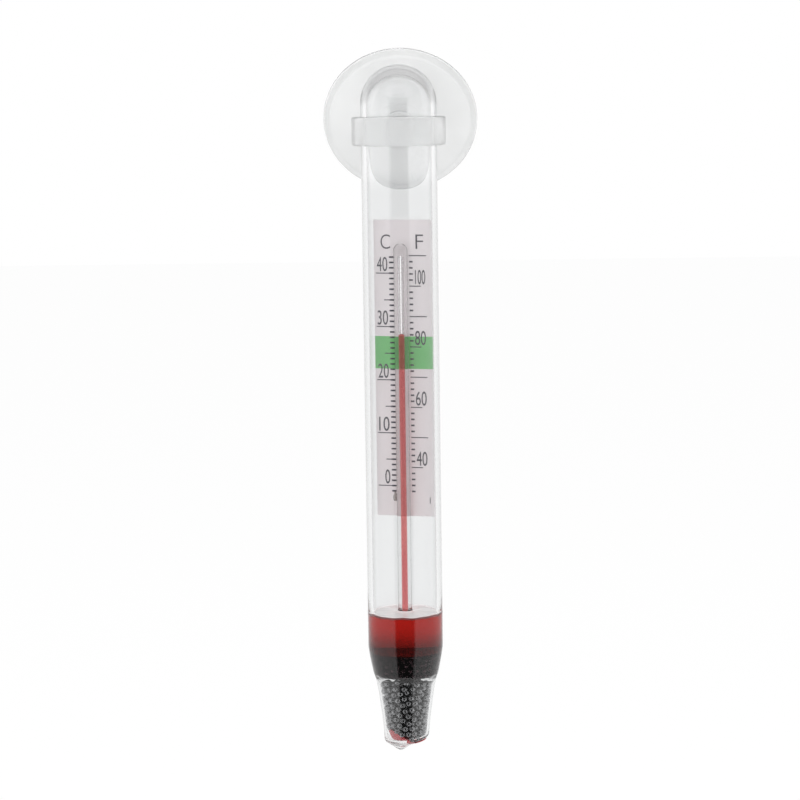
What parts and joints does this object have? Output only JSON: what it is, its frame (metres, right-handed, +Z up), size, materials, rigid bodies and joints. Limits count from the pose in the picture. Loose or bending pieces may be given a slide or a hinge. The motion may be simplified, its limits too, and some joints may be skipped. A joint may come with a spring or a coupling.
{
  "type": "aquarium thermometer",
  "caption": "Clear glass tube thermometer with red liquid, printed film scale and shot ballast, held upright by a collar on a soft suction cup.",
  "frame": {"origin": "centre of the suction cup's rim plane, where the cup meets the pane", "axes": "+Z up along the glass tube, the scale faces -Y, the suction cup faces +Y and, at rest, is tilted up by 24 degrees about X"},
  "size_m": [0.025, 0.0262, 0.1126],
  "materials": {
    "soft_pvc": "soft clear PVC, slightly milky",
    "clear_glass": "clear polished glass",
    "red_spirit": "red dyed spirit, a liquid",
    "steel_shot": "dull grey steel pellets",
    "sealing_wax": "red sealing wax",
    "printed_film": "thin pale film with a printed scale",
    "clear_glue": "dot of clear glue"
  },
  "bodies": {
    "suction_cup": {"suction_disc": "soft_pvc"},
    "neck": {"neck": "soft_pvc"},
    "collar": {"collar_ring": "soft_pvc"},
    "tube": {"envelope_tube": "clear_glass", "capillary_stem": "clear_glass", "reservoir_shell": "clear_glass", "reservoir_floor": "clear_glass", "ballast_tube": "clear_glass", "reservoir_liquid": "red_spirit", "liquid_column": "red_spirit", "bonded_shot": "steel_shot", "loose_shot_1": "steel_shot", "loose_shot_2": "steel_shot", "loose_shot_3": "steel_shot", "sealing_wax": "sealing_wax", "scale_film": "printed_film", "film_glue": "clear_glue"},
    "liquid_head": {"meniscus": "red_spirit"}
  },
  "joints": [
    {"name": "neck_tilt", "type": "hinge", "parent": "suction_cup", "child": "neck", "pos_m": [0, -0.00365, -0.00163], "axis": [1, 0, 0], "range_deg": [-4, 52]},
    {"name": "tube_turn", "type": "hinge", "parent": "neck", "child": "collar", "pos_m": [0, -0.01365, -0.00163], "axis": [0, 0, 1], "continuous": true},
    {"name": "tube_slide", "type": "slide", "parent": "collar", "child": "tube", "axis": [0, 0, 1], "range_m": [-0.002, 0.074]},
    {"name": "column_rise", "type": "slide", "parent": "tube", "child": "liquid_head", "axis": [0, 0, 1], "range_m": [-0.0243, 0.012], "deforming": ["liquid_column"]}
  ]
}
